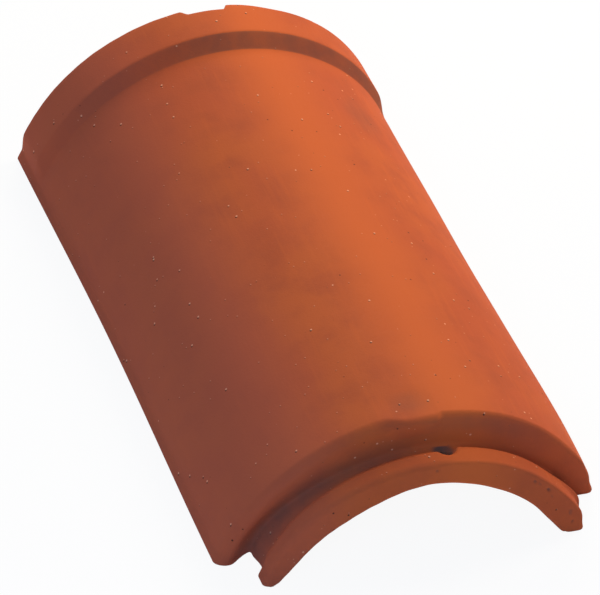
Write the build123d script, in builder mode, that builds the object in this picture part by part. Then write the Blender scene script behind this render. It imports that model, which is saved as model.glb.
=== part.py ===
"""Half-round ridge tile of fired clay, with a collar at one end and a rimmed spigot at the other.

X runs across the tile, Y along it with the spigot at -Y and the collar at +Y, Z up.
The two feet stand on z = 0 and the origin lies at the middle of the footprint.
"""
from build123d import *

import os

# Overall size
length = 444
width = 255
height = 107

# Wall of the barrel, at the crown and at the feet
wall = 14
foot_wall = 16
bore_flank_height = 6
foot_chamfer = 3

# Foot: a small lip that turns outward along both long edges
lip_height = 8
lip_reach = 2.8
lip_face = 1.6

# Barrel between collar and shoulder
barrel_drop = 8
barrel_flank_height = 15
barrel_flank_inset = 5

# Collar with its bevelled step, and the socket inside it
collar_length = 31
collar_bevel = 10
collar_flank_height = 21
collar_flank_inset = 4
collar_notch_width = 26
collar_notch_depth = 4.4
collar_notch_slope = 5
socket_depth = 37
socket_wall = 17

# Spigot: a groove behind a raised rim, with a nick in the rim near the crown
spigot_length = 26
spigot_drop = 28.4
spigot_inset = 18.8
spigot_flank_height = 15
spigot_flank_inset = 4.7
spigot_wall = 17.7
rim_width = 15
rim_nick_radius = 7
rim_nick_offset = 14
groove_depth = 6
groove_foot_inset = 8
groove_flank_height = 6
throat_foot_wall = 14.7
throat_flank_height = 18.4
throat_flank_inset = 14
throat_start = 29
throat_length = 22

# Rounding
shoulder_radius = 6
shoulder_root_radius = 4.5
rim_radius = 2.2
rim_root_radius = 3
mouth_radius = 2.4
collar_rim_radius = 1.4

# Derived positions
spigot_end = -length / 2
collar_end = length / 2
collar_step = collar_end - collar_length
shoulder = spigot_end + spigot_length
rim_back = spigot_end + rim_width
throat_end = spigot_end + throat_start + throat_length
half_width = width / 2
barrel_crown = height - barrel_drop
rim_crown = height - spigot_drop
groove_crown = rim_crown - groove_depth
rim_half = half_width - spigot_inset
groove_half = rim_half - groove_foot_inset
throat_crown = rim_crown - spigot_wall
throat_half = rim_half - throat_foot_wall
bore_half = half_width - foot_wall
touch = 0.01


def section(y):
    """Plane of the cross-section at the given place along the tile."""
    return Plane(origin=(0, y, 0), x_dir=(1, 0, 0), z_dir=(0, -1, 0))


def footed_arch(crown, flank, flank_height, foot):
    """Outline of the tile in section: an arc, steep flanks and a lip turned outward at each foot."""
    lip_top = foot - lip_reach
    with BuildSketch() as outline:
        with BuildLine():
            arc = ThreePointArc((-flank, flank_height), (0, crown), (flank, flank_height))
            Polyline(
                arc @ 1,
                (lip_top, lip_height),
                (foot, lip_face),
                (foot, 0),
                (-foot, 0),
                (-foot, lip_face),
                (-lip_top, lip_height),
                arc @ 0,
            )
        make_face()
    return outline.sketch


def plain_arch(crown, flank, flank_height, foot):
    """Outline of a plain arch in section: an arc and straight flanks down to the feet."""
    with BuildSketch() as outline:
        with BuildLine():
            arc = ThreePointArc((-flank, flank_height), (0, crown), (flank, flank_height))
            Polyline(arc @ 1, (foot, 0), (-foot, 0), arc @ 0)
        make_face()
    return outline.sketch


def hollow_arch(crown, flank, flank_height, foot):
    """Outline of the hollow in section, which takes the inner edge off both feet."""
    with BuildSketch() as outline:
        with BuildLine():
            arc = ThreePointArc((-flank, flank_height), (0, crown), (flank, flank_height))
            Polyline(
                arc @ 1,
                (foot, foot_chamfer),
                (foot + foot_chamfer, 0),
                (-foot - foot_chamfer, 0),
                (-foot, foot_chamfer),
                arc @ 0,
            )
        make_face()
    return outline.sketch


def rim_edges(solid, y, reach, crown):
    """Edges of one cross-section outline above the floor, no wider than reach or higher than crown."""
    at_y = solid.edges().filter_by_position(Axis.Y, y - touch, y + touch)
    above = at_y.filter_by_position(Axis.Z, touch, crown + touch)
    return above.filter_by_position(Axis.X, -reach - touch, reach + touch)


barrel_face = footed_arch(barrel_crown, half_width - barrel_flank_inset, barrel_flank_height, half_width)
collar_face = footed_arch(height, half_width - collar_flank_inset, collar_flank_height, half_width)
rim_face = footed_arch(rim_crown, rim_half - spigot_flank_inset, spigot_flank_height, rim_half)
groove_face = plain_arch(groove_crown, groove_half, groove_flank_height, groove_half)
throat_face = hollow_arch(throat_crown, throat_half - throat_flank_inset, throat_flank_height, throat_half)
bore_face = hollow_arch(barrel_crown - wall, bore_half, bore_flank_height, bore_half)
socket_face = hollow_arch(height - socket_wall, bore_half, bore_flank_height, bore_half)

with BuildPart() as ridge_tile:
    # Rim of the spigot, rounded front and back
    with BuildSketch(section(spigot_end)):
        add(rim_face)
    extrude(amount=-rim_width)
    fillet(
        rim_edges(ridge_tile, spigot_end, rim_half, rim_crown)
        + rim_edges(ridge_tile, rim_back, rim_half, rim_crown),
        radius=rim_radius,
    )

    # Barrel, its near end rounded into the shoulder
    with BuildSketch(section(shoulder)):
        add(barrel_face)
    extrude(amount=-(length - spigot_length))
    fillet(rim_edges(ridge_tile, shoulder, half_width, height), radius=shoulder_radius)

    # Collar with its bevelled step
    with BuildSketch(section(collar_step)):
        add(collar_face)
    extrude(amount=-collar_length)
    with BuildSketch(section(collar_step - collar_bevel)):
        add(barrel_face)
    with BuildSketch(section(collar_step)):
        add(collar_face)
    loft(ruled=True)

    # Groove floor that joins the rim to the shoulder, hollowed softly at both sides
    with BuildSketch(section(spigot_end)):
        add(groove_face)
    extrude(amount=-spigot_length)
    fillet(rim_edges(ridge_tile, shoulder, groove_half, groove_crown), radius=shoulder_root_radius)
    fillet(rim_edges(ridge_tile, rim_back, groove_half, groove_crown), radius=rim_root_radius)

    # Hollow: throat under the spigot, bore under the barrel, socket under the collar
    with BuildSketch(section(spigot_end)):
        add(throat_face)
    extrude(amount=-throat_start, mode=Mode.SUBTRACT)
    with BuildSketch(section(spigot_end + throat_start)):
        add(throat_face)
    with BuildSketch(section(throat_end)):
        add(bore_face)
    loft(ruled=True, mode=Mode.SUBTRACT)
    with BuildSketch(section(throat_end)):
        add(bore_face)
    extrude(amount=throat_end - collar_end, mode=Mode.SUBTRACT)
    with BuildSketch(section(collar_end)):
        add(socket_face)
    extrude(amount=socket_depth, mode=Mode.SUBTRACT)

    # Soft edges round both mouths
    fillet(rim_edges(ridge_tile, spigot_end, throat_half + foot_chamfer, throat_crown), radius=mouth_radius)
    fillet(rim_edges(ridge_tile, collar_end, half_width, height), radius=collar_rim_radius)

    # Notch in the collar's end at the crown
    with BuildSketch(Plane.XY):
        with BuildLine():
            Polyline(
                (-collar_notch_width / 2 - collar_notch_slope, collar_end),
                (-collar_notch_width / 2, collar_end - collar_notch_depth),
                (collar_notch_width / 2, collar_end - collar_notch_depth),
                (collar_notch_width / 2, collar_end),
                close=True,
            )
        make_face()
    extrude(amount=height, mode=Mode.SUBTRACT)

    # Nick in the back of the spigot's rim
    with BuildSketch(Plane.XY.offset(groove_crown)):
        with Locations((rim_nick_offset, rim_back)):
            Circle(rim_nick_radius)
    extrude(amount=groove_depth, mode=Mode.SUBTRACT)

ridge_tile.part.label = "ridge_tile"

os.makedirs("parts", exist_ok=True)
export_step(ridge_tile.part, "parts/ridge_tile.step")
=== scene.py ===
"""Scene of a half-round clay ridge tile: the fired-clay tile, a pale floor, studio lamps and the camera.

Lengths in the classes are in millimetres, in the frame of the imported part: X across the tile,
Y along it from the spigot to the collar, Z up from the feet. Places along the tile are counted
from the spigot's end face, and moved to the frame's own middle when the mesh is made.
"""
import logging
import math
from dataclasses import dataclass, replace
from enum import Enum

import bpy
import numpy as np
from mathutils import Matrix, Vector


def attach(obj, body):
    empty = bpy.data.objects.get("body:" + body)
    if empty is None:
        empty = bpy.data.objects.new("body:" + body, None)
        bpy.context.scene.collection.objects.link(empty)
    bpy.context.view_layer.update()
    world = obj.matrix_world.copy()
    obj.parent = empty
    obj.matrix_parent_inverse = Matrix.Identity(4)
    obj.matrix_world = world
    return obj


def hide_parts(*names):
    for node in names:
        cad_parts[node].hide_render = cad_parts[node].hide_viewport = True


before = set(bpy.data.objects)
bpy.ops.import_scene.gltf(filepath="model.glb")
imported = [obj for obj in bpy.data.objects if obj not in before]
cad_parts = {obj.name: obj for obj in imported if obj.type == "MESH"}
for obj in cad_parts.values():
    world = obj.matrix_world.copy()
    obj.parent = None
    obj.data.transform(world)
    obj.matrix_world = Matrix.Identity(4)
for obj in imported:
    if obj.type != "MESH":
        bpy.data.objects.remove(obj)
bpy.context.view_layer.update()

MM = 0.001
LOG = logging.getLogger("ridge_tile")

# Attribute of the mesh's points that tells the clay how much painted shade and smudge lies there
SHADE_AND_SMUDGE_LAYER = "shade_and_smudge_layer"

# Where something that fades is nothing, and where it is full; the second may be the lower one
Span = tuple[float, float]
Pair = tuple[float, float]
Triple = tuple[float, float, float]

# Numbers or points in rows
Grid = np.ndarray
Tree = bpy.types.NodeTree
Socket = bpy.types.NodeSocket


def linear(code: str) -> tuple[float, float, float, float]:
    """Turn an sRGB hex colour into linear RGBA.

    Args:
        code: Six hex digits, with or without a leading hash.

    Returns:
        Red, green, blue and an alpha of one, in linear light.
    """
    digits = code.lstrip("#")
    parts = [int(digits[i : i + 2], 16) / 255 for i in (0, 2, 4)]
    light = [p / 12.92 if p <= 0.04045 else ((p + 0.055) / 1.055) ** 2.4 for p in parts]
    return (light[0], light[1], light[2], 1.0)


def add_node(
    tree: Tree,
    kind: str,
    inputs: dict[str | int, object] | None = None,
    **settings: object,
) -> bpy.types.Node:
    """Add a shader node, set its properties, and fill or link its inputs.

    Args:
        tree: Node tree that takes the node.
        kind: Blender's type name of the node.
        inputs: Socket name or number to a value, or to the output socket it is linked from.
        **settings: Properties of the node itself.

    Returns:
        The new node.
    """
    node = tree.nodes.new(kind)
    for name, value in settings.items():
        setattr(node, name, value)
    for name, value in (inputs or {}).items():
        if isinstance(value, Socket):
            tree.links.new(value, node.inputs[name])
        else:
            node.inputs[name].default_value = value
    return node


def fade(value: Grid, span: Span) -> Grid:
    """Rise smoothly from 0 at the span's first number to 1 at its second, and hold outside."""
    share = np.clip((value - span[0]) / (span[1] - span[0]), 0, 1)
    return share * share * (3 - 2 * share)


@dataclass(frozen=True)
class Stretch:
    """A stretch that something keeps to, with a soft start and a soft end."""

    start: Span
    end: Span

    def share(self, value: Grid) -> Grid:
        """Rise over the start, and fall again over the end."""
        return fade(value, self.start) * fade(value, self.end)


class Side(Enum):
    """Side of the mould's seam, seen from the spigot."""

    LEFT = "left"
    RIGHT = "right"


@dataclass(frozen=True)
class ArchOutline:
    """One half of an arched cross-section, from the crown down to the underside of the foot."""

    crown: float
    flank: float
    flank_height: float
    lip: float
    lip_height: float
    foot: float
    tip_height: float
    under: float
    softness: float

    def blend(self, other: "ArchOutline", share: float) -> "ArchOutline":
        """Mix this outline with another.

        Args:
            other: The outline that a share of 1 gives.
            share: How much of the other outline is taken.

        Returns:
            The mixed outline.
        """
        mine, theirs = vars(self), vars(other)
        return ArchOutline(**{k: mine[k] + (theirs[k] - mine[k]) * share for k in mine})

    def line(self, step: float = 0.5) -> Grid:
        """Trace the half outline with its corners rounded.

        Args:
            step: Distance between neighbouring points.

        Returns:
            Points (x, z) from the crown to the end of the foot's underside.
        """
        rise = self.crown - self.flank_height
        centre = (self.crown**2 - self.flank**2 - self.flank_height**2) / (2 * rise)
        radius = self.crown - centre
        low = math.atan2(self.flank_height - centre, self.flank)

        # The line starts on the other flank and ends beyond the foot, so that softening spares both ends
        turn = np.linspace(math.pi - low, low, 400)
        arc = np.stack([radius * np.cos(turn), centre + radius * np.sin(turn)], 1)
        end = self.foot + self.under
        tail = [(self.lip, self.lip_height), (self.foot, self.tip_height), (self.foot, 0), (end, 0)]
        whole = np.concatenate([arc, np.array(tail + [(end + 2 * self.under, 0)])])
        even = resample(whole, np.arange(0, run_length(whole)[-1], step))

        # A bell curve, cut off at four times the softness, averages the corners round
        reach = int(round(4 * self.softness / step))
        bell = np.exp(-0.5 * (np.arange(-reach, reach + 1) * step / self.softness) ** 2)
        soft = np.stack([np.convolve(c, bell / bell.sum(), mode="same") for c in even.T], 1)

        # The half is cut out between the crown and the point on the ground at the foot's end
        first = int(np.argmin(np.abs(soft[: len(soft) // 2, 0])))
        last = first + int(np.argmin(np.abs(soft[first:, 0] - end) + 10 * np.abs(soft[first:, 1])))
        half = soft[first : last + 1].copy()
        half[0, 0] = 0.0
        half[:, 1] = np.maximum(half[:, 1], 0.0)
        half[-1] = (end, 0.0)
        return half

    def both_sides(self, spread: "Spread") -> Grid:
        """Give the whole outline, foot to foot, at the grid's spacing.

        Args:
            spread: How closely the points follow each other.

        Returns:
            Points (x, z) from the left foot over the crown to the right foot.
        """
        line = self.line()
        half = resample(line, spread.places(run_length(line)[-1]))
        return np.concatenate([half[:0:-1] * (-1, 1), half])


@dataclass(frozen=True)
class Spread:
    """Spacing of the grid along half an arch: close at the crown and the foot, wider between."""

    crown_zone: float = 27.0
    crown_steps: int = 30
    flank_steps: int = 42
    foot_zone: float = 18.0
    foot_steps: int = 20

    def places(self, length: float) -> Grid:
        """Choose the distances from the crown at which points are taken.

        Args:
            length: Length of the half outline.

        Returns:
            Increasing distances from 0 to length.
        """
        near = np.linspace(0, self.crown_zone, self.crown_steps + 1)
        middle = np.linspace(self.crown_zone, length - self.foot_zone, self.flank_steps + 1)
        foot = np.linspace(middle[-1], length, self.foot_steps + 1)
        return np.concatenate([near[:-1], middle[:-1], foot])


@dataclass(frozen=True)
class Corner:
    """A corner of the lengthwise profile, with the grid steps of the run before it and of its rounding."""

    along: float
    crown: float
    rounding: float = 0.0
    run_steps: int = 1
    turn_steps: int = 5


def run_length(points: Grid) -> Grid:
    """Measure the distance along a line at each of its points."""
    return np.concatenate([[0.0], np.cumsum(np.linalg.norm(np.diff(points, axis=0), axis=1))])


def resample(points: Grid, places: Grid) -> Grid:
    """Read a line at the given distances along it."""
    run = run_length(points)
    return np.stack([np.interp(places, run, c) for c in points.T], 1)


def rounded_profile(corners: list[Corner]) -> Grid:
    """Follow the corners of a profile with each one rounded.

    Args:
        corners: The profile's corners in order; the first and last are its bare ends.

    Returns:
        Points (along, crown), as many for any two profiles with the same steps.
    """
    spots = [np.array([c.along, c.crown]) for c in corners]
    pen, points = spots[0], [spots[0]]
    for here, p0, p1, p2 in zip(corners[1:], spots, spots[1:], spots[2:]):
        a, b = (p0 - p1) / np.linalg.norm(p0 - p1), (p2 - p1) / np.linalg.norm(p2 - p1)
        half_angle = math.acos(float(np.clip(a @ b, -1, 1))) / 2
        tangent = here.rounding / math.tan(half_angle)
        start, end = p1 + a * tangent, p1 + b * tangent
        points += [pen + (start - pen) * n / here.run_steps for n in range(1, here.run_steps + 1)]

        # The rounding turns at an even pace from its start to its end
        centre = p1 + (a + b) / np.linalg.norm(a + b) * here.rounding / math.sin(half_angle)
        sweep = math.pi - 2 * half_angle
        for n in range(1, here.turn_steps + 1):
            t = n / here.turn_steps
            leaving = math.sin((1 - t) * sweep) * (start - centre)
            coming = math.sin(t * sweep) * (end - centre)
            points.append(centre + (leaving + coming) / math.sin(sweep))
        pen = end
    steps = corners[-1].run_steps
    points += [pen + (spots[-1] - pen) * n / steps for n in range(1, steps + 1)]
    return np.array(points)


def quads(grid: Grid) -> Grid:
    """Join a grid of point numbers into four-sided faces."""
    return np.stack([grid[:-1, :-1], grid[:-1, 1:], grid[1:, 1:], grid[1:, :-1]], -1).reshape(-1, 4)


@dataclass(frozen=True)
class Pattern:
    """A pattern in the clay: the values that it fades in between, and the shares off it and on it."""

    span: Span
    share: Pair

    def value(self, tree: Tree, place: Socket) -> Socket:
        """Make the value that the pattern is drawn from.

        Args:
            tree: The material's node tree.
            place: Position on the tile in metres.

        Returns:
            The value's socket.
        """
        raise NotImplementedError

    def mask(self, tree: Tree, place: Socket) -> Socket:
        """Draw the pattern.

        Args:
            tree: The material's node tree.
            place: Position on the tile in metres.

        Returns:
            A socket with the first share off the pattern and the second one on it.
        """
        inputs = {
            "Value": self.value(tree, place),
            "From Min": self.span[0],
            "From Max": self.span[1],
            "To Min": self.share[0],
            "To Max": self.share[1],
        }
        mask = add_node(tree, "ShaderNodeMapRange", inputs, interpolation_type="SMOOTHSTEP")
        return mask.outputs["Result"]


@dataclass(frozen=True)
class Patches(Pattern):
    """Soft patches of a mean size, with finer detail; a low along draws them out along the tile."""

    size_mm: float
    detail: float
    along: float = 1.0

    def value(self, tree: Tree, place: Socket) -> Socket:
        """Make the noise that has the patches in it.

        Args:
            tree: The material's node tree.
            place: Position on the tile in metres.

        Returns:
            The noise, from 0 to 1.
        """
        drawn = add_node(tree, "ShaderNodeMapping", {"Vector": place, "Scale": (1.0, self.along, 1.0)})
        inputs = {
            "Vector": drawn.outputs["Vector"],
            "Scale": 1 / (self.size_mm * MM),
            "Detail": self.detail,
            "Roughness": 0.55,
        }
        return add_node(tree, "ShaderNodeTexNoise", inputs).outputs["Fac"]


@dataclass(frozen=True)
class Band(Pattern):
    """A soft band along the tile, with its middle at a place across it."""

    middle_mm: float

    def value(self, tree: Tree, place: Socket) -> Socket:
        """Measure how far a point lies from the band's middle.

        Args:
            tree: The material's node tree.
            place: Position on the tile in metres.

        Returns:
            The distance in millimetres.
        """
        across = add_node(tree, "ShaderNodeSeparateXYZ", {"Vector": place}).outputs["X"]
        inputs = {0: across, 1: 1 / MM, 2: -self.middle_mm}
        aside = add_node(tree, "ShaderNodeMath", inputs, operation="MULTIPLY_ADD").outputs["Value"]
        return add_node(tree, "ShaderNodeMath", {0: aside}, operation="ABSOLUTE").outputs["Value"]


@dataclass(frozen=True)
class Specks(Pattern):
    """Round specks that the surface cuts: their mean distance and radius.

    The shift in metres keeps one family of specks apart from another, and the offset in radii puts
    a second speck beside each of the same family.
    """

    spacing_mm: float
    radius_mm: float
    shift: Triple
    offset: Triple = (0.0, 0.0, 0.0)

    def value(self, tree: Tree, place: Socket) -> Socket:
        """Measure how far a point lies from the middle of the nearest speck.

        Args:
            tree: The material's node tree.
            place: Position on the tile in metres.

        Returns:
            The distance in the speck's radii.
        """
        shift = tuple(s + o * self.radius_mm * MM for s, o in zip(self.shift, self.offset))
        moved = add_node(tree, "ShaderNodeMapping", {"Vector": place, "Location": shift})
        inputs = {"Vector": moved.outputs["Vector"], "Scale": 1 / (self.spacing_mm * MM)}
        cells = add_node(tree, "ShaderNodeTexVoronoi", inputs)
        inputs = {0: cells.outputs["Distance"], 1: self.spacing_mm / self.radius_mm}
        return add_node(tree, "ShaderNodeMath", inputs, operation="MULTIPLY").outputs["Value"]


@dataclass(frozen=True)
class FiredClay:
    """Terracotta: iron-rich clay pressed in a plaster mould and fired unglazed, so matt and open-pored.

    A paler band right of the crown is a painted highlight, and a cooler tint on the left flank is painted
    shade.
    Painted shade darkens the groove, the nick, the step and the shoulder's face, and lime grains burnt to
    pale specks, each beside the pit it opened, which is darkened with painted shade.
    """

    name: str = "terracotta_pressed_unglazed"
    body: str = "#C65C2B"
    # Pale: the drag lines, and the painted highlight right of the crown
    pale: str = "#D5632B"
    dark: str = "#B4512B"
    red: str = "#BF542D"
    # Painted shade: the left flank's cooler tint
    painted_shade_tint: str = "#BE5A3C"
    lime: str = "#EFA274"
    # Painted shade in the pits beside the lime grains
    pit: str = "#5A2A16"
    # Painted shade in the groove, nick, step, shoulder's face and end-face voids, and two smudges
    shade_and_smudges: str = "#4D463D"

    # Open pores scatter the light, so the clay has hardly any shine
    diffuse_roughness: float = 0.5
    specular: float = 0.12

    # The kiln's blotches are a hand wide, its clouds two fingers, and the patches that break up the
    # painted shade one
    blotches: Patches = Patches((0.35, 0.65), (0.0, 0.8), 95.0, 2.0)
    clouds: Patches = Patches((0.4, 0.75), (0.0, 0.7), 24.0, 4.0)
    shade_mottle: Patches = Patches((0.3, 0.7), (0.7, 1.0), 11.0, 3.0)

    # The press dragged the clay along the tile and left faint lines
    drag: Patches = Patches((0.5, 0.8), (0.0, 0.25), 5.0, 2.0, along=0.08)

    # The sand in the clay is half a millimetre or finer; it is drawn coarser so that it shows.
    # Its share is the roughness, higher on a grain than between the grains
    sand: Patches = Patches((0.0, 1.0), (0.74, 0.88), 1.4, 3.0)
    relief_mm: float = 0.25
    relief_strength: float = 0.4

    # The painted highlight lies a little right of the crown; the painted shade's middle is beyond the left
    # foot
    painted_sheen_band: Band = Band((46.0, 0.0), (0.0, 0.9), 24.0)
    painted_shade_band: Band = Band((110.0, 55.0), (0.0, 0.65), -140.0)

    # Lime grains, the small ones fainter, and the way from a grain to its pit in radii
    small_grains: Specks = Specks((1.0, 0.5), (0.0, 0.5), 8.0, 0.6, (0.07, 0.43, 0.29))
    large_grains: Specks = Specks((1.0, 0.5), (0.0, 1.0), 12.0, 0.9, (0.31, 0.17, 0.05))
    pit_offset: Triple = (0.55, 0.9, 0.35)

    def build(self) -> bpy.types.Material:
        """Make the material.

        Returns:
            The finished clay material.
        """
        material = bpy.data.materials.new(self.name)
        material.use_nodes = True
        tree = material.node_tree
        tree.nodes.clear()
        place = add_node(tree, "ShaderNodeTexCoord").outputs["Object"]
        pits = replace(self.large_grains, offset=self.pit_offset).mask(tree, place)

        # The mesh says where painted shade and smudges lie, and a noise breaks them up unevenly
        named = {"attribute_name": SHADE_AND_SMUDGE_LAYER, "attribute_type": "GEOMETRY"}
        inputs = {
            0: add_node(tree, "ShaderNodeAttribute", **named).outputs["Fac"],
            1: self.shade_mottle.mask(tree, place),
        }
        settings = {"operation": "MULTIPLY", "use_clamp": True}
        shade_and_smudges = add_node(tree, "ShaderNodeMath", inputs, **settings).outputs["Value"]

        # Each coat of colour lies over those before it
        coats = [
            (self.red, self.blotches.mask(tree, place)),
            (self.dark, self.clouds.mask(tree, place)),
            (self.pale, self.drag.mask(tree, place)),
            # Painted highlight: a pale sheen band right of the crown
            (self.pale, self.painted_sheen_band.mask(tree, place)),
            # Painted shade: a cooler tint on the left flank
            (self.painted_shade_tint, self.painted_shade_band.mask(tree, place)),
            # Painted shade in the pits beside the small grains
            (self.pit, replace(self.small_grains, offset=self.pit_offset).mask(tree, place)),
            (self.lime, self.small_grains.mask(tree, place)),
            # Painted shade in the pits beside the large grains
            (self.pit, pits),
            (self.lime, self.large_grains.mask(tree, place)),
            # Painted shade in the groove, nick, step, shoulder's face and voids, and two smudges
            (self.shade_and_smudges, shade_and_smudges),
        ]
        colour = linear(self.body)
        for paint, share in coats:
            inputs = {0: share, 6: colour, 7: linear(paint)}
            colour = add_node(tree, "ShaderNodeMix", inputs, data_type="RGBA").outputs[2]

        # The sand stands out of the surface, and the large grains' pits go into it
        inputs = {0: self.sand.value(tree, place), 1: pits}
        height = add_node(tree, "ShaderNodeMath", inputs, operation="SUBTRACT").outputs["Value"]
        inputs = {"Strength": self.relief_strength, "Distance": self.relief_mm * MM, "Height": height}
        relief = add_node(tree, "ShaderNodeBump", inputs)
        inputs = {
            "Base Color": colour,
            "Roughness": self.sand.mask(tree, place),
            "Diffuse Roughness": self.diffuse_roughness,
            "Specular IOR Level": self.specular,
            "Normal": relief.outputs["Normal"],
        }
        shader = add_node(tree, "ShaderNodeBsdfPrincipled", inputs)
        add_node(tree, "ShaderNodeOutputMaterial", {"Surface": shader.outputs["BSDF"]})
        return material


@dataclass(frozen=True)
class Hollow:
    """A shallow dent or nick: its middle, its reach both ways, and how deep it goes.

    On the outside it is placed in plan, across and along the tile; on the end face, across and up.
    """

    across: float
    along: float
    half_width: float
    half_length: float
    depth: float

    def fall(self, points: Grid) -> Grid:
        """Depth of the hollow at each point, with a soft border."""
        aside = (points[..., 0] - self.across) / self.half_width
        ahead = (points[..., 1] - self.along) / self.half_length
        return self.depth * fade(np.hypot(aside, ahead), (1.0, 0.25))


@dataclass(frozen=True)
class ShadeAndSmudges:
    """Painted shade in the groove and the nick, on the shoulder's face and on the step, and two smudges.
    """

    # The groove's painted shade is darkest at its left foot
    groove: float = 0.54
    groove_depth: float = 1 / 3
    groove_along: Span = (13.5, 20.5)
    groove_across: Span = (35.0, -75.0)

    # Painted shade on the shoulder's face, from the seam to the right
    face: float = 0.3
    face_start: float = 20.0
    face_depth: Stretch = Stretch((0.02, 0.2), (0.85, 0.3))
    face_across: Stretch = Stretch((-10.0, 12.0), (100.0, 50.0))

    # Painted shade on the step: little on the left, none at its foot, and most on the right
    step: Pair = (0.12, 0.48)
    step_foot: Span = (-118.0, -80.0)
    step_across: Span = (-55.0, 5.0)

    # Painted shade fills the nick, and two smudges lie on the barrel
    pocket: Hollow = Hollow(14.0, 17.5, 9.6, 8.4, 1.5)
    pocket_end: float = 22.5
    smudges: tuple[Hollow, ...] = (
        Hollow(78.0, 345.0, 18.0, 26.0, 0.2),
        Hollow(-4.0, 39.0, 17.0, 10.0, 0.2),
    )

    def paint_shade_and_smudges(self, points: Grid, depth: Grid, step: Pair) -> Grid:
        """Tell how much painted shade and smudge each point of the outside has.

        Args:
            points: Grid of points counted from the spigot's end, before the tile warped.
            depth: How far down the shoulder a point lies, 0 on the barrel and 1 on the groove's floor.
            step: Where the collar's step starts and ends along the tile.

        Returns:
            The painted shade and smudge at each point, from 0 to 1.
        """
        x, y = points[..., 0], points[..., 1]
        sunk = np.clip((depth - self.groove_depth) / (1 - self.groove_depth), 0, 1)
        shade_and_smudges = self.groove * sunk * fade(y, self.groove_along) * fade(x, self.groove_across)
        face = self.face_depth.share(depth) * (y > self.face_start)
        shade_and_smudges += self.face * face * self.face_across.share(x)
        on_step = (y > step[0]) * (y < step[1])
        shade_and_smudges += on_step * self.step[0] * fade(x, self.step_foot)
        shade_and_smudges += on_step * (self.step[1] - self.step[0]) * fade(x, self.step_across)
        shade_and_smudges += sum(smudge.fall(points) for smudge in self.smudges)
        shade_and_smudges += self.pocket.fall(points) * (y < self.pocket_end)
        return np.clip(shade_and_smudges, 0, 1)


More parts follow.
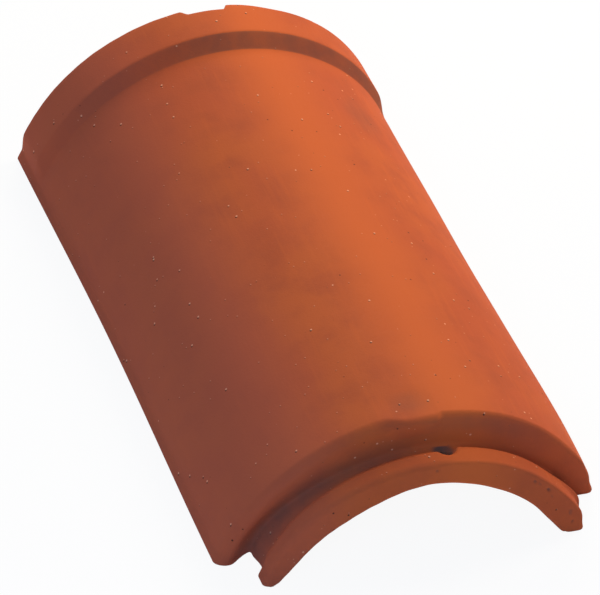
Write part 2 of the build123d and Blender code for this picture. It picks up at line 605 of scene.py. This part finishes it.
@dataclass
class Warp:
    """What pressing, drying and firing did to this tile: bows, an uneven shoulder, nicks and worn ends."""

    length: float

    # The flanks, as places across the tile
    left: Span = (-15.0, -70.0)
    right: Span = (15.0, 70.0)

    # The shoulder's feet were dragged back when the tile left the mould, the left one most at its root
    foot_lean: Pair = (1.6, 7.5)
    lean_height: Span = (55.0, 0.0)
    lean_along: Stretch = Stretch((15.5, 20.0), (60.0, 34.0))
    root_lean: float = 8.2
    root_height: Span = (95.0, 0.0)
    root_depth: Span = (0.18, 0.92)

    # A lip of clay hangs over the groove to the left of the seam
    lip_drop: float = 4.5
    lip_across: Span = (-26.0, -8.0)
    lip_depth: float = 0.625
    lip_along: Stretch = Stretch((16.0, 20.0), (44.0, 28.0))

    # The rim's left foot was pinched in, and the long left edge bowed in as the tile dried
    spigot_pinch: float = 4.2
    pinch_along: Span = (30.0, 16.0)
    foot_bow: float = 2.75
    bow_middle: float = 250.0
    bow_reach: float = 225.0
    bow_height: Span = (70.0, 0.0)
    bow_across: Span = (-10.0, -60.0)

    # The right flank is fuller than the left, most just behind the shoulder
    fullness: float = 2.1
    full_least: float = 0.3
    full_rise: Span = (10.0, 75.0)
    full_fall: Span = (245.0, 75.0)
    full_along: Span = (24.0, 34.0)
    full_height: Stretch = Stretch((3.0, 17.0), (85.0, 40.0))
    full_across: Span = (40.0, 90.0)

    # Clay gathered at the rim's right foot and behind it
    leg_swell: float = 2.2
    leg_height: Span = (1.0, 12.0)
    leg_along: Span = (30.0, 22.0)
    trough_swell: float = 6.0
    trough_along: Stretch = Stretch((12.0, 17.0), (30.0, 24.0))
    swell_height: Span = (46.0, 14.0)

    # The collar draws in above its right foot
    collar_tuck: float = 2.4
    tuck_along: Span = (402.0, 413.0)
    tuck_height: Stretch = Stretch((3.0, 9.0), (34.0, 16.0))
    tuck_across: Span = (40.0, 95.0)

    # The mould's core left the throat's haunches, left and right, straighter than an arc
    haunch: Pair = (2.6, 1.9)
    haunch_centre: float = -34.5
    haunch_turn: float = 1.0
    haunch_roundness: float = 1.6
    haunch_along: Span = (60.0, 30.0)

    # The collar's end was cut aslant, with a notch at the crown
    notch: Stretch = Stretch((-19.2, -13.7), (14.2, 10.6))
    notch_depth: float = 4.5
    notch_height: Span = (60.0, 75.0)
    end_slant: float = 2.0
    slant_across: Span = (14.0, 50.0)
    cut_reach: float = 16.0

    # The nick in the rim, the dent behind the shoulder, and the voids in the spigot's end face
    nick: Hollow = Hollow(14.0, 15.2, 8.4, 8.4, 6.4)
    nick_end: float = 16.5
    dent: Hollow = Hollow(-6.0, 36.0, 24.0, 17.0, 0.9)
    dent_depth: float = 0.25
    voids: tuple[Hollow, ...] = (
        Hollow(70.3, 48.7, 2.2, 0.9, 0.9),
        Hollow(74.7, 45.2, 1.3, 1.4, 1.1),
        Hollow(80.6, 39.5, 1.2, 1.9, 1.2),
        Hollow(83.6, 34.5, 1.0, 1.6, 0.9),
        Hollow(98.0, 17.0, 1.1, 2.8, 0.9),
        Hollow(100.5, 8.8, 1.2, 1.5, 0.9),
        Hollow(3.2, 72.5, 0.9, 2.2, 0.8),
    )
    # Painted shade in the voids
    void_shade: float = 0.75

    # Waves of lengths that share no measure, so that no pattern shows; the hollow's are weaker
    wave: float = 0.22
    hollow_wave: float = 0.088
    wave_axis: float = -32.0
    wave_height: Span = (4.0, 14.0)
    wave_lengths: Triple = (17.0, 41.0, 63.0)
    wave_counts: Triple = (3.0, 9.0, 5.0)
    wave_meander: float = 2.1
    end_wave: float = 0.35
    end_counts: Pair = (23.0, 37.0)
    end_length: float = 3.0
    end_reach: float = 6.0

    def outside(self, points: Grid, depth: Grid, seam: Grid) -> Grid:
        """Move the points of the outside.

        Args:
            points: Grid of points counted from the spigot's end.
            depth: How far down the shoulder a point lies, 0 on the barrel and 1 on the groove's floor.
            seam: 0 on the left of the mould's seam and 1 on its right.

        Returns:
            The moved points.
        """
        p = points.copy()
        self.drag_spigot(p, depth, seam)
        self.bow_flanks(p)
        self.swell_root(p, points)
        tuck = fade(p[..., 1], self.tuck_along) * self.tuck_height.share(p[..., 2])
        p[..., 0] -= self.collar_tuck * tuck * fade(p[..., 0], self.tuck_across)
        p[..., 2] -= self.nick.fall(points) * (points[..., 1] < self.nick_end)
        above = 1 - np.clip(depth / self.dent_depth, 0, 1)
        p[..., 2] -= self.dent.fall(points) * (1 - seam) * above
        self.cut_end(p)
        self.ripple(p, points, self.wave)
        return p

    def inside(self, points: Grid) -> Grid:
        """Move the points of the hollow's wall.

        Args:
            points: Grid of points counted from the spigot's end.

        Returns:
            The moved points.
        """
        p = points.copy()
        self.bow_flanks(p)
        self.draw_in(p)
        self.cut_end(p)
        self.ripple(p, points, self.hollow_wave)
        return p

    def drag_spigot(self, p: Grid, depth: Grid, seam: Grid) -> None:
        """Lean the shoulder's feet back, hang the lip over the groove and pinch the rim's left foot in.

        Args:
            p: Points to move in place.
            depth: How far down the shoulder a point lies.
            seam: 0 on the left of the mould's seam and 1 on its right.
        """
        x, y, z = np.moveaxis(p, -1, 0)
        low, left, right = fade(z, self.lean_height), fade(x, self.left), fade(x, self.right)
        lean = (self.foot_lean[0] * left + self.foot_lean[1] * right) * low
        lean += self.root_lean * fade(depth, self.root_depth) * left * fade(z, self.root_height)
        y += lean * self.lean_along.share(y)
        above = 1 - np.clip(depth / self.lip_depth, 0, 1)
        lip = fade(x, self.lip_across) * (1 - seam) * above
        y -= self.lip_drop * lip * self.lip_along.share(y)
        x += self.spigot_pinch * low * left * fade(y, self.pinch_along)

    def bow_flanks(self, p: Grid) -> None:
        """Bow the long left edge in and fill the right flank out.

        Args:
            p: Points of the outside or the hollow's wall, to move in place.
        """
        x, y, z = np.moveaxis(p, -1, 0)
        away = np.clip(np.abs(y - self.bow_middle) / self.bow_reach, 0, 1)
        bow = np.cos(away * math.pi / 2) ** 2
        x += self.foot_bow * bow * fade(z, self.bow_height) * fade(x, self.bow_across)
        full = fade(y, self.full_fall)
        full *= self.full_least + (1 - self.full_least) * fade(y, self.full_rise)
        belly = self.full_height.share(z) * fade(x, self.full_across)
        x += self.fullness * full * belly * fade(y, self.full_along)

    def swell_root(self, p: Grid, at: Grid) -> None:
        """Thicken the rim's right foot and the root behind it.

        Args:
            p: Points to move in place.
            at: The points' places before they were moved.
        """
        y, z = p[..., 1], p[..., 2]
        swell = self.leg_swell * fade(z, self.leg_height) * fade(y, self.leg_along)
        swell += self.trough_swell * self.trough_along.share(y)
        p[..., 0] += swell * fade(at[..., 0], self.right) * fade(z, self.swell_height)

    def draw_in(self, p: Grid) -> None:
        """Flatten the haunches of the throat.

        Args:
            p: Points to move in place.
        """
        x, y, z = np.moveaxis(p, -1, 0)
        turn = np.arctan2(np.abs(x), z - self.haunch_centre)
        reach = np.where(x < 0, *self.haunch) * fade(y, self.haunch_along)
        swing = np.sin(math.pi * np.clip(turn / self.haunch_turn, 0, 1))
        amount = reach * swing**self.haunch_roundness
        z -= amount * np.cos(turn)
        x -= amount * np.sin(turn) * np.sign(x)

    def pit_face(self, p: Grid) -> Grid:
        """Sink the small voids of the pressing into the spigot's end face.

        Args:
            p: Points of the cap to move in place.

        Returns:
            How much painted shade each point has.
        """
        flat = np.stack([p[..., 0], p[..., 2]], -1)
        sunk = sum(void.fall(flat) for void in self.voids)
        p[..., 1] += sunk
        return self.void_shade * np.clip(sunk, 0, 1)

    def cut_end(self, p: Grid) -> None:
        """Draw the collar's end in where the notch and the slant of the cut are.

        Args:
            p: Points to move in place.
        """
        x, y, z = np.moveaxis(p, -1, 0)
        cut = self.notch_depth * self.notch.share(x) * fade(z, self.notch_height)
        cut += self.end_slant * fade(x, self.slant_across)
        y -= cut * np.clip(1 - (self.length - y) / self.cut_reach, 0, 1)

    def ripple(self, p: Grid, at: Grid, wave: float) -> None:
        """Let the surfaces wander a little and the ends be jagged, always into the clay.

        Args:
            p: Points to move in place.
            at: The points' places before they were moved.
            wave: Mean depth of the waves.
        """
        along, up = at[..., 1], at[..., 2]
        turn = np.arctan2(at[..., 0], up - self.wave_axis)
        first, second, third = (along / length for length in self.wave_lengths)
        slow, quick, plain = (turn * count for count in self.wave_counts)
        swing = np.sin(first + self.wave_meander * np.sin(slow))
        swing += np.sin(quick + second) + np.sin(plain - third)
        inward = wave * (1 + swing / 3) * fade(up, self.wave_height)
        p[..., 0] -= inward * np.sin(turn)
        p[..., 2] -= inward * np.cos(turn)
        broad, fine = (turn * count for count in self.end_counts)
        jag = self.end_wave * (2 + np.sin(broad) + np.sin(fine + up / self.end_length)) / 4
        p[..., 1] += jag * np.clip(1 - along / self.end_reach, 0, 1)
        p[..., 1] -= jag * np.clip(1 - (self.length - along) / self.end_reach, 0, 1)


@dataclass
class RidgeTile:
    """The pressed clay tile: barrel, collar, shoulder, groove, rim and the hollow under them."""

    name: str = "ridge_tile_clay"
    length: float = 444.0
    width: float = 255.0
    height: float = 107.0

    # Feet, with a small lip turned outward
    lip_height: float = 8.0
    lip_reach: float = 2.8
    tip_height: float = 1.6
    sole_width: float = 3.0
    softness: float = 0.8

    # Barrel
    barrel_drop: float = 8.0
    barrel_inset: float = 5.0
    flank_height: float = 15.0

    # Collar with its bevelled step
    collar_length: float = 31.0
    collar_bevel: float = 10.0
    collar_flank_height: float = 21.0
    collar_inset: float = 2.8

    # Shoulder, groove and rim
    shoulder_place: float = 23.5
    spigot_drop: float = 28.4
    spigot_inset: float = 18.8
    spigot_flank_inset: float = 4.7
    rim_width: float = 15.0
    rim_slope: float = 7.5
    rim_wear: float = 4.0
    groove_depth: float = 6.0
    groove_inset: float = 7.0
    groove_flank_inset: float = 3.0
    groove_lip_reach: float = 1.0
    rim_margin: float = 2.0
    root_slope: float = 0.6

    # The mould's seam, which widens as it goes down into the groove
    seam_place: float = 11.0
    seam_width: float = 3.6
    seam_fade: float = 3.0

    # Throat and bore
    throat_drop: float = 46.0
    throat_flank: float = 80.0
    throat_flank_height: float = 18.4
    throat_foot: float = 94.0
    throat_lip: Pair = (2.6, 4.0)
    throat_tip: float = 0.5
    throat_start: float = 29.0
    throat_length: float = 22.0
    barrel_wall: float = 14.0
    foot_wall: float = 16.0
    bore_flank: Pair = (0.6, 8.0)
    bore_lip: Pair = (0.2, 5.0)
    bore_tip: float = 3.0
    inner_sole: float = 4.0
    inner_softness: float = 2.3

    # Socket, and the soft edge round both mouths
    socket_depth: float = 37.0
    socket_wall: float = 17.0
    socket_slope: Pair = (-1.0, 4.0)
    mouth_rounding: float = 2.4

    # The hollow's stations that lie under the shoulder's root and its top, and how far before the
    # root, behind the shoulder and before the step the outside's stations are matched to them
    throat_knots: Pair = (33.5, 38.5)
    root_lead: float = 2.0
    shoulder_reach: float = 6.4
    step_lead: float = 4.0
    thickness_steps: int = 16
    spread: Spread = Spread()
    shade_and_smudges: ShadeAndSmudges = ShadeAndSmudges()

    def outer_outlines(self) -> dict[str, ArchOutline]:
        """Make the outside outlines of the barrel, collar, rim and groove.

        Returns:
            Each outline by name.
        """
        half = self.width / 2
        spigot = half - self.spigot_inset
        groove = spigot - self.groove_inset
        crown = self.height - self.spigot_drop
        floor = crown - self.groove_depth

        # Crown, half the width, how far in the flank starts and how high, and how far in the lip starts
        barrel = self.height - self.barrel_drop
        plan = {
            "barrel": (barrel, half, self.barrel_inset, self.flank_height, self.lip_reach),
            "collar": (self.height, half, self.collar_inset, self.collar_flank_height, self.lip_reach),
            "rim": (crown, spigot, self.spigot_flank_inset, self.flank_height, self.lip_reach),
            "groove": (floor, groove, self.groove_flank_inset, self.flank_height, self.groove_lip_reach),
        }
        return {
            name: ArchOutline(
                crown=top,
                flank=foot - inset,
                flank_height=height,
                lip=foot - reach,
                lip_height=self.lip_height,
                foot=foot,
                tip_height=self.tip_height,
                under=-self.sole_width,
                softness=self.softness,
            )
            for name, (top, foot, inset, height, reach) in plan.items()
        }

    def profile(self, side: Side) -> Grid:
        """Make the lengthwise profile on one side of the mould's seam: worn and sloping left, crisp right.

        Args:
            side: The side of the seam.

        Returns:
            Points (along, crown), as many on either side.
        """
        barrel = self.height - self.barrel_drop
        rim = self.height - self.spigot_drop
        floor = rim - self.groove_depth
        bevel = self.length - self.collar_length
        worn = self.rim_width - self.rim_wear
        root = self.shoulder_place + self.root_slope

        # Place along, crown, rounding, grid steps up to the corner and grid steps round it
        near = {
            Side.LEFT: [
                Corner(0, rim - 4.6),
                Corner(0, rim, 3.8, 1, 6),
                Corner(worn, rim, 3.0, 8, 6),
                Corner(worn + self.rim_slope, floor, 2.4, 6, 5),
                Corner(root, floor, 2.2, 5, 6),
                Corner(self.shoulder_place, barrel, 6.5, 18, 12),
            ],
            Side.RIGHT: [
                Corner(0, rim - 2.6),
                Corner(0, rim, 1.8, 1, 6),
                Corner(self.rim_width, rim, 1.6, 8, 6),
                Corner(self.rim_width + self.root_slope, floor, 2.4, 6, 5),
                Corner(root, floor, 3.2, 5, 6),
                Corner(self.shoulder_place, barrel, 2.8, 18, 12),
            ],
        }
        far = [
            Corner(bevel - self.collar_bevel, barrel, 3.5, 58, 5),
            Corner(bevel, self.height, 4.5, 5, 6),
            Corner(self.length, self.height, 1.6, 10, 5),
            Corner(self.length, self.height - 1.9, 0, 1),
        ]
        return rounded_profile(near[side] + far)

    def surface(self, profile: Grid) -> tuple[Grid, Grid]:
        """Sweep the outside outlines along a profile.

        Args:
            profile: Points (along, crown).

        Returns:
            The grid (stations, points, 3), and each station's depth below the barrel as a share.
        """
        cut = self.outer_outlines()
        barrel, collar, rim, groove = (cut[k] for k in ("barrel", "collar", "rim", "groove"))
        rim_end = self.rim_width + self.rim_margin
        rows, depths = [], []
        for along, crown in profile:
            depth = (barrel.crown - crown) / (barrel.crown - groove.crown)
            if along > self.length / 2:
                shape = barrel.blend(collar, (crown - barrel.crown) / (collar.crown - barrel.crown))
            elif along < rim_end and crown > groove.crown:
                shape = rim.blend(groove, (rim.crown - crown) / (rim.crown - groove.crown))
            else:
                shape = barrel.blend(groove, depth)
            row = shape.both_sides(self.spread)
            rows.append(np.stack([row[:, 0], np.full(len(row), along), row[:, 1]], 1))
            depths.append(max(depth, 0.0))
        return np.array(rows), np.array(depths)

    def outside(self) -> tuple[Grid, Grid, Grid]:
        """Join the left and the right surface along the mould's seam.

        Returns:
            The grid (stations, points, 3), the depth share of each point, and its side of the seam.
        """
        grid_left, depth_left = self.surface(self.profile(Side.LEFT))
        grid_right, depth_right = self.surface(self.profile(Side.RIGHT))
        half = self.seam_width / 2 * (1 + self.seam_fade * (depth_left + depth_right)[:, None])
        seam = fade(grid_left[:, :, 0], (self.seam_place - half, self.seam_place + half))
        grid = grid_left + (grid_right - grid_left) * seam[:, :, None]
        depth = depth_left[:, None] + (depth_right - depth_left)[:, None] * seam
        return grid, depth, seam

    def inside(self) -> Grid:
        """Make the wall of the hollow: throat, slope, bore and socket.

        Returns:
            The grid (stations, points, 3), with as many stations as the outside.
        """
        left = self.profile(Side.LEFT)
        run = run_length(left)
        bevel = self.length - self.collar_length - self.collar_bevel - self.step_lead
        root, top = self.shoulder_place - self.root_lead, self.shoulder_place + self.shoulder_reach
        knots = [run[int(np.argmax(left[:, 0] > place))] for place in (root, top, bevel)]
        matched = [0, *self.throat_knots, bevel, self.length]
        along = np.interp(run, [0, *knots, run[-1]], matched)
        bore_half = self.width / 2 - self.foot_wall
        sole = dict(under=self.inner_sole, softness=self.inner_softness)
        throat = ArchOutline(
            crown=self.height - self.throat_drop,
            flank=self.throat_flank,
            flank_height=self.throat_flank_height,
            lip=self.throat_foot - self.throat_lip[0],
            lip_height=self.throat_lip[1],
            foot=self.throat_foot,
            tip_height=self.throat_tip,
            **sole,
        )
        bore = ArchOutline(
            crown=self.height - self.barrel_drop - self.barrel_wall,
            flank=bore_half - self.bore_flank[0],
            flank_height=self.bore_flank[1],
            lip=bore_half - self.bore_lip[0],
            lip_height=self.bore_lip[1],
            foot=bore_half,
            tip_height=self.bore_tip,
            **sole,
        )
        socket = self.length - self.socket_depth
        lift = self.height - self.socket_wall - bore.crown
        slope = fade(along, (self.throat_start, self.throat_start + self.throat_length))
        raised = lift * fade(along, (socket + self.socket_slope[0], socket + self.socket_slope[1]))
        rows = []
        for y, widen, higher in zip(along, slope, raised):
            shape = throat.blend(bore, float(widen))
            near = max(1 - y / self.mouth_rounding, 1 - (self.length - y) / self.mouth_rounding, 0)
            flare = self.mouth_rounding * (1 - math.sqrt(1 - near**2))
            shape = replace(
                shape,
                crown=shape.crown + float(higher) + flare,
                flank=shape.flank + flare,
                lip=shape.lip + flare,
                foot=shape.foot + flare,
            )
            row = shape.both_sides(self.spread)
            rows.append(np.stack([row[:, 0], np.full(len(row), y), row[:, 1]], 1))
        return np.array(rows)

    def shell(self) -> tuple[Grid, Grid, Grid]:
        """Close the outside and the inside into one skin and warp it.

        Returns:
            The points, the faces as point numbers, and each point's painted shade and smudge.
        """
        outer, depth, seam = self.outside()
        stations, across, _ = outer.shape
        step = self.length - self.collar_length
        shade_and_smudges = self.shade_and_smudges.paint_shade_and_smudges(outer, depth, (step - self.collar_bevel, step))
        warp = Warp(self.length)
        outer = warp.outside(outer, depth, seam)
        inner = warp.inside(self.inside())

        # Number of the point at each station, place round the arch and step through the wall
        steps = self.thickness_steps
        share = np.linspace(0, 1, steps + 1)[1:-1]
        block = np.full((stations, across, steps + 1), -1)
        block[:, :, 0] = np.arange(stations * across).reshape(stations, across)
        block[:, :, steps] = block[:, :, 0] + stations * across
        points = [outer.reshape(-1, 3), inner.reshape(-1, 3)]
        shade = [shade_and_smudges.reshape(-1), np.zeros(stations * across)]

        # Both end faces and both soles close the wall
        edges = [(k, slice(None)) for k in (0, -1)] + [(slice(1, -1), i) for i in (0, -1)]
        for edge in edges:
            strip = outer[edge][:, None] + (inner[edge] - outer[edge])[:, None] * share[:, None]
            start = sum(len(p) for p in points)
            count = strip[:, :, 0].size
            block[edge + (slice(1, steps),)] = start + np.arange(count).reshape(-1, steps - 1)
            shade.append(warp.pit_face(strip).reshape(-1) if edge[0] == 0 else np.zeros(count))
            points.append(strip.reshape(-1, 3))
        sides = [block[:, :, 0], block[:, :, steps].T, block[0], block[-1].T, block[:, 0].T, block[:, -1]]
        place = np.concatenate(points)
        place[:, 1] -= self.length / 2
        return place, np.concatenate([quads(side) for side in sides]), np.concatenate(shade)

    def build(self, clay: bpy.types.Material) -> bpy.types.Object:
        """Make the tile's mesh and dress it.

        Args:
            clay: Material of the whole tile.

        Returns:
            The tile.
        """
        points, faces, shade_and_smudge_share = self.shell()
        mesh = bpy.data.meshes.new(self.name)
        mesh.from_pydata((points * MM).tolist(), [], faces.tolist())
        # A layer of painted shade and smudges, which the clay reads
        shade_and_smudge_layer = mesh.attributes.new(SHADE_AND_SMUDGE_LAYER, "FLOAT", "POINT")
        shade_and_smudge_layer.data.foreach_set("value", shade_and_smudge_share)
        mesh.polygons.foreach_set("use_smooth", np.ones(len(mesh.polygons), bool))
        mesh.materials.append(clay)
        tile = bpy.data.objects.new(self.name, mesh)
        bpy.context.scene.collection.objects.link(tile)
        return tile


def in_sight(tree: Tree) -> Socket:
    """Tell what the camera sees, straight or mirrored, from what only lights the scene.

    Args:
        tree: Node tree of the floor or the world.

    Returns:
        A socket that is 1 for camera, glossy and transmission rays.
    """
    ray = add_node(tree, "ShaderNodeLightPath")
    either = ray.outputs["Is Camera Ray"]
    for name in ("Is Glossy Ray", "Is Transmission Ray"):
        inputs = {0: either, 1: ray.outputs[name]}
        either = add_node(tree, "ShaderNodeMath", inputs, operation="MAXIMUM").outputs["Value"]
    return either


@dataclass(frozen=True)
class WhitePaper:
    """Uncoated white paper: its loose fibres scatter the light evenly, without any shine.

    The camera sees it nearly as white as the surround, and the tile's shadow stays on it.
    """

    name: str = "matt_white_paper"
    colour: str = "#E4E4E4"
    glow: float = 0.93

    def build(self) -> bpy.types.Material:
        """Make the material.

        Returns:
            The finished paper.
        """
        material = bpy.data.materials.new(self.name)
        material.use_nodes = True
        tree = material.node_tree
        tree.nodes.clear()
        paper = add_node(tree, "ShaderNodeBsdfDiffuse", {"Color": linear(self.colour)})
        glow = add_node(tree, "ShaderNodeEmission", {"Color": (1, 1, 1, 1), "Strength": 1.0})
        inputs = {0: in_sight(tree), 1: self.glow}
        share = add_node(tree, "ShaderNodeMath", inputs, operation="MULTIPLY").outputs["Value"]
        inputs = {0: share, 1: paper.outputs[0], 2: glow.outputs[0]}
        both = add_node(tree, "ShaderNodeMixShader", inputs)
        add_node(tree, "ShaderNodeOutputMaterial", {"Surface": both.outputs[0]})
        return material


@dataclass(frozen=True)
class Lamp:
    """A square soft lamp that points at the tile, with its edge in metres and its power in watts.

    The azimuth runs round the tile in degrees, from the right towards the collar.
    """

    name: str
    azimuth: float
    elevation: float
    size: float
    power: float
    tint: str

    def hang(self, distance: float, aim: float) -> None:
        """Hang the lamp.

        Args:
            distance: Distance from the point it looks at, in metres.
            aim: Height of that point above the floor, in metres.
        """
        around, up = math.radians(self.azimuth), math.radians(self.elevation)
        flat = math.cos(up)
        direction = Vector((math.cos(around) * flat, math.sin(around) * flat, math.sin(up)))
        light = bpy.data.lights.new(self.name, "AREA")
        light.shape = "SQUARE"
        light.size = self.size
        light.energy = self.power
        light.color = linear(self.tint)[:3]
        lamp = bpy.data.objects.new(self.name, light)
        lamp.location = direction * distance + Vector((0, 0, aim))
        lamp.rotation_euler = direction.to_track_quat("Z", "Y").to_euler()
        lamp.visible_camera = False
        bpy.context.scene.collection.objects.link(lamp)


@dataclass
class Studio:
    """Pale floor, soft lamps, plain world and the camera at the photograph's angle."""

    # The camera's way round the tile and over it in degrees, its distance and its shifts
    azimuth: float = -22.911
    elevation: float = 39.535
    roll: float = 5.571
    distance: float = 3353.2
    side_shift: float = -6.16
    up_shift: float = -13.61
    aim: float = 50.0

    # The lens, from its focal length in pixels of the photograph
    focal_px: float = 5194.29
    image_width: int = 600
    sensor: float = 36.0
    clip_end: float = 50.0

    # The floor's half width in metres, and the soft light of the surround
    floor_edge: float = 6.0
    surround: str = "#A8CAFF"
    surround_strength: float = 0.38

    # Warm lamps behind the tile and on its right, and a cool one at the front left
    lamp_distance: float = 2.2
    lamps: tuple[Lamp, ...] = (
        Lamp("key_softbox", 69.6, 30.0, 0.9, 40.0, "#FFEFCC"),
        Lamp("side_softbox", 20.0, 45.0, 0.9, 34.0, "#FFEFCC"),
        Lamp("fill_softbox", -125.0, 36.0, 0.9, 21.0, "#9AC2FF"),
    )

    def camera(self) -> None:
        """Put the camera where the photograph was taken from."""
        az, el, roll = (math.radians(a) for a in (self.azimuth, self.elevation, self.roll))
        back = Vector((math.sin(az) * math.cos(el), -math.cos(az) * math.cos(el), math.sin(el)))
        right = Vector((0, 0, 1)).cross(back).normalized()
        up = back.cross(right)
        side = right * math.cos(roll) + up * math.sin(roll)
        top = up * math.cos(roll) - right * math.sin(roll)
        eye = Vector((0, 0, self.aim)) + back * self.distance
        eye += side * self.side_shift + top * self.up_shift
        lens = bpy.data.cameras.new("photo_camera")
        lens.sensor_width = self.sensor
        lens.sensor_fit = "HORIZONTAL"
        lens.lens = self.focal_px * self.sensor / self.image_width
        lens.clip_end = self.clip_end
        camera = bpy.data.objects.new("photo_camera", lens)
        turn = Matrix((side, top, back)).transposed().to_4x4()
        camera.matrix_world = Matrix.Translation(eye * MM) @ turn
        bpy.context.scene.collection.objects.link(camera)
        bpy.context.scene.camera = camera

    def floor(self) -> None:
        """Lay the pale floor, white to the camera and holding the tile's shadow."""
        mesh = bpy.data.meshes.new("studio_floor")
        edge = self.floor_edge
        corners = [(-edge, -edge, 0), (edge, -edge, 0), (edge, edge, 0), (-edge, edge, 0)]
        mesh.from_pydata(corners, [], [(0, 1, 2, 3)])
        mesh.materials.append(WhitePaper().build())
        floor = bpy.data.objects.new("studio_floor", mesh)
        bpy.context.scene.collection.objects.link(floor)

    def world(self) -> None:
        """Set a plain pale surround that lights the tile softly and shows white to the camera."""
        world = bpy.data.worlds.new("studio_white")
        world.use_nodes = True
        tree = world.node_tree
        tree.nodes.clear()
        inputs = {"Color": linear(self.surround), "Strength": self.surround_strength}
        fill = add_node(tree, "ShaderNodeBackground", inputs)
        white = add_node(tree, "ShaderNodeBackground", {"Color": (1, 1, 1, 1), "Strength": 1.0})
        inputs = {0: in_sight(tree), 1: fill.outputs[0], 2: white.outputs[0]}
        both = add_node(tree, "ShaderNodeMixShader", inputs)
        add_node(tree, "ShaderNodeOutputWorld", {"Surface": both.outputs[0]})
        bpy.context.scene.world = world

    def build(self) -> None:
        """Set up the whole stage."""
        self.camera()
        self.floor()
        self.world()
        for lamp in self.lamps:
            lamp.hang(self.lamp_distance, self.aim * MM)
        bpy.context.scene.view_settings.view_transform = "Standard"


def main() -> None:
    """Build the studio and the tile, and report each piece."""
    logging.basicConfig(level=logging.INFO, format="%(name)s: %(message)s")
    Studio().build()
    LOG.info("studio is set")
    clay = FiredClay().build()
    tile = RidgeTile().build(clay)
    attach(tile, "root")
    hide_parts("ridge_tile")
    LOG.info("%s has %d faces", tile.name, len(tile.data.polygons))


if __name__ == "__main__":
    main()
